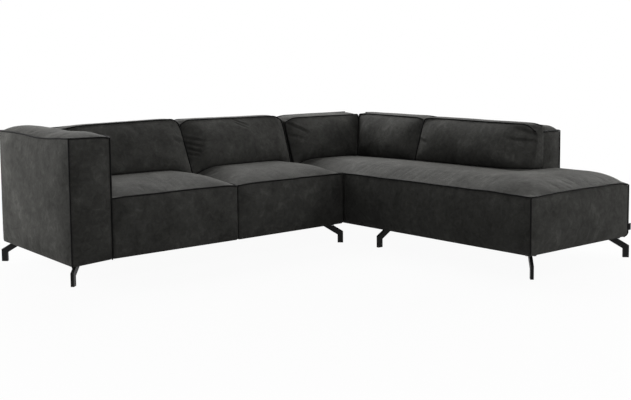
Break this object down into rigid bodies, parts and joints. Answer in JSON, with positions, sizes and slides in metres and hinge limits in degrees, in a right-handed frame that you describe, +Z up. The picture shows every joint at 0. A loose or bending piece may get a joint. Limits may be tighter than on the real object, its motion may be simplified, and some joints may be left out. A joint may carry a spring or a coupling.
{
  "type": "corner sofa",
  "caption": "Corner sofa with a two-seat unit, one box arm, a corner unit with an open end, loose piped back cushions and bent steel legs.",
  "frame": {"origin": "on the floor, under the middle of the sofa's bounding box", "axes": "+X along the two-seat unit from the arm to the corner, +Y from the open end to the rear, +Z up"},
  "size_m": [2.8214, 2.4214, 0.791],
  "materials": {
    "upholstery": "matte",
    "foam": "matte",
    "filling": "matte",
    "underside_cloth": "matte",
    "webbing": "matte",
    "timber": "matte",
    "board": "matte",
    "spring_steel": "satin",
    "zinc_steel": "satin",
    "glide_plastic": "matte",
    "black_steel": "satin"
  },
  "bodies": {
    "corner_unit": {"connector_prongs": "zinc_steel", "corner_back_webbing": "webbing", "corner_glides": "glide_plastic", "corner_inner_rails": "timber", "corner_leg_blocks": "timber", "corner_leg_end_inner": "black_steel", "corner_leg_end_outer": "black_steel", "corner_leg_middle_inner": "black_steel", "corner_leg_middle_outer": "black_steel", "corner_leg_rear_inner": "black_steel", "corner_leg_rear_outer": "black_steel", "corner_outer_rails": "timber", "corner_screws": "zinc_steel", "corner_seat_cover": "upholstery", "corner_seat_foam": "foam", "corner_spring_clips": "spring_steel", "corner_springs": "spring_steel", "corner_underside_cloth": "underside_cloth", "long_back_cover": "upholstery", "long_back_foam": "foam", "long_back_frame": "timber", "short_back_cover": "upholstery", "short_back_foam": "foam", "short_back_frame": "timber"},
    "two_seat_unit": {"arm_cover": "upholstery", "arm_foam": "foam", "arm_frame": "board", "connector_sockets": "zinc_steel", "left_seat_cover": "upholstery", "left_seat_foam": "foam", "right_seat_cover": "upholstery", "right_seat_foam": "foam", "two_seat_back_cover": "upholstery", "two_seat_back_foam": "foam", "two_seat_back_frame": "timber", "two_seat_back_webbing": "webbing", "two_seat_glides": "glide_plastic", "two_seat_inner_rails": "timber", "two_seat_leg_blocks": "timber", "two_seat_leg_front_left": "black_steel", "two_seat_leg_front_right": "black_steel", "two_seat_leg_rear_left": "black_steel", "two_seat_leg_rear_right": "black_steel", "two_seat_outer_rails": "timber", "two_seat_screws": "zinc_steel", "two_seat_spring_clips": "spring_steel", "two_seat_springs": "spring_steel", "two_seat_underside_cloth": "underside_cloth"},
    "back_cushion_1": {"back_cushion_1_cover": "upholstery", "back_cushion_1_filling": "filling"},
    "back_cushion_2": {"back_cushion_2_cover": "upholstery", "back_cushion_2_filling": "filling"},
    "back_cushion_3": {"back_cushion_3_cover": "upholstery", "back_cushion_3_filling": "filling"},
    "back_cushion_4": {"back_cushion_4_cover": "upholstery", "back_cushion_4_filling": "filling"},
    "back_cushion_5": {"back_cushion_5_cover": "upholstery", "back_cushion_5_filling": "filling"}
  },
  "joints": [
    {"name": "two_seat_unit_lift", "type": "slide", "parent": "corner_unit", "child": "two_seat_unit", "axis": [0, 0, 1], "range_m": [0, 0.05]},
    {"name": "back_cushion_1_lift", "type": "slide", "parent": "two_seat_unit", "child": "back_cushion_1", "axis": [0, 0, 1], "range_m": [0, 0.36]},
    {"name": "back_cushion_2_lift", "type": "slide", "parent": "two_seat_unit", "child": "back_cushion_2", "axis": [0, 0, 1], "range_m": [0, 0.36]},
    {"name": "back_cushion_3_lift", "type": "slide", "parent": "corner_unit", "child": "back_cushion_3", "axis": [0, 0, 1], "range_m": [0, 0.36]},
    {"name": "back_cushion_4_lift", "type": "slide", "parent": "corner_unit", "child": "back_cushion_4", "axis": [0, 0, 1], "range_m": [0, 0.36]},
    {"name": "back_cushion_5_lift", "type": "slide", "parent": "corner_unit", "child": "back_cushion_5", "axis": [0, 0, 1], "range_m": [0, 0.36]}
  ]
}
